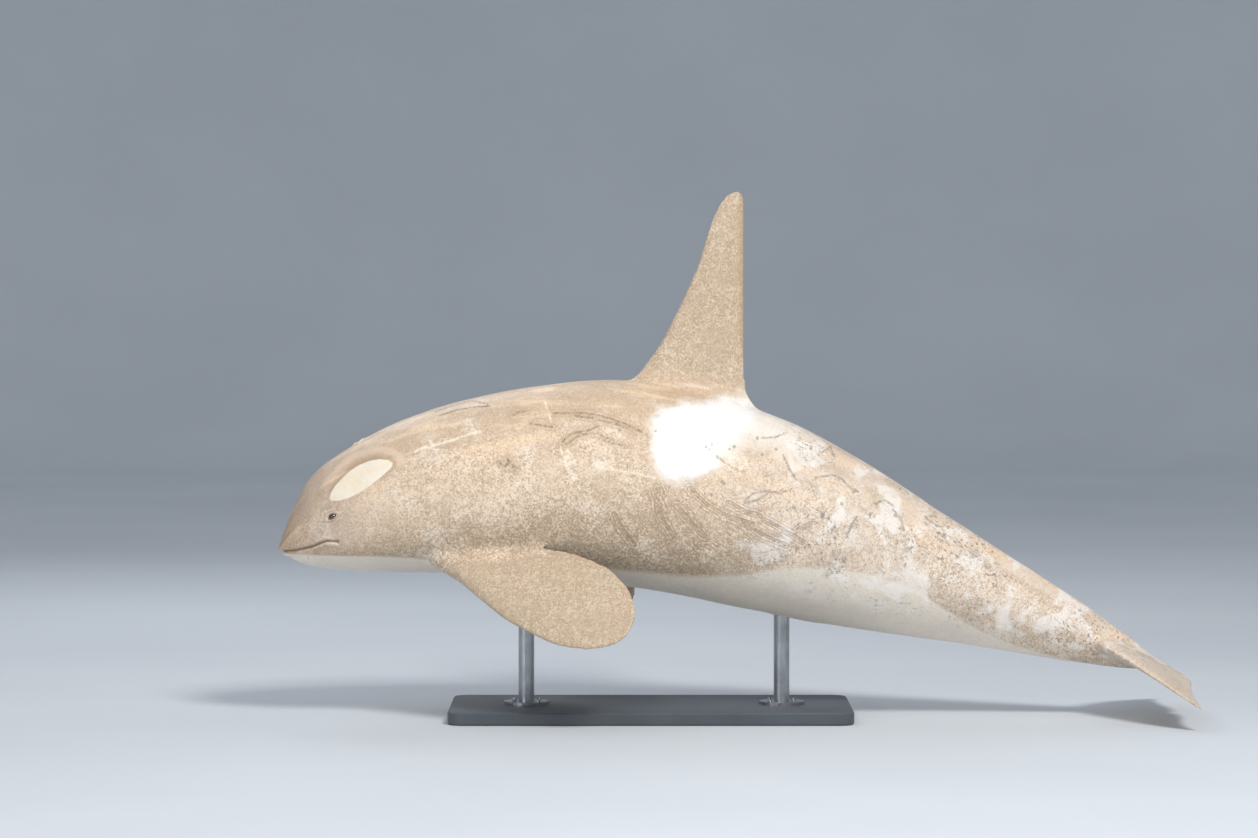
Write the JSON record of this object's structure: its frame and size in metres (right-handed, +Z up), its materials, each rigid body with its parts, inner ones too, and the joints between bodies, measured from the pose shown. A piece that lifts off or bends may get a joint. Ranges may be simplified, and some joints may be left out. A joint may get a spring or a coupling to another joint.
{
  "type": "orca model",
  "caption": "Life-size still model of a pale adult male orca arched in a surfacing roll, tall upright dorsal fin, held on a flat base by short upright rods.",
  "frame": {"origin": "middle of the underside of the stand's base, on the floor", "axes": "+X towards the tail, -X towards the snout, -Y the animal's left side, +Z up"},
  "size_m": [6.5929, 2.4172, 3.81],
  "materials": {
    "skin": "smooth hairless skin, wet look, cream with a paler eye patch and saddle",
    "eye": "polished dark brown",
    "stand_base": "satin dark grey paint",
    "stand_metal": "brushed"
  },
  "bodies": {
    "root": {"head": "skin", "lower_jaw": "skin", "eye_left": "eye", "eye_right": "eye", "chest": "skin", "torso": "skin", "tail_stock_front": "skin", "tail_stock_rear": "skin", "dorsal_fin": "skin", "flipper_left": "skin", "flipper_right": "skin", "fluke_left": "skin", "fluke_right": "skin", "stand_base": "stand_base", "stand_rod_front": "stand_metal", "stand_flange_front": "stand_metal", "stand_rod_rear": "stand_metal", "stand_flange_rear": "stand_metal"}
  },
  "joints": []
}
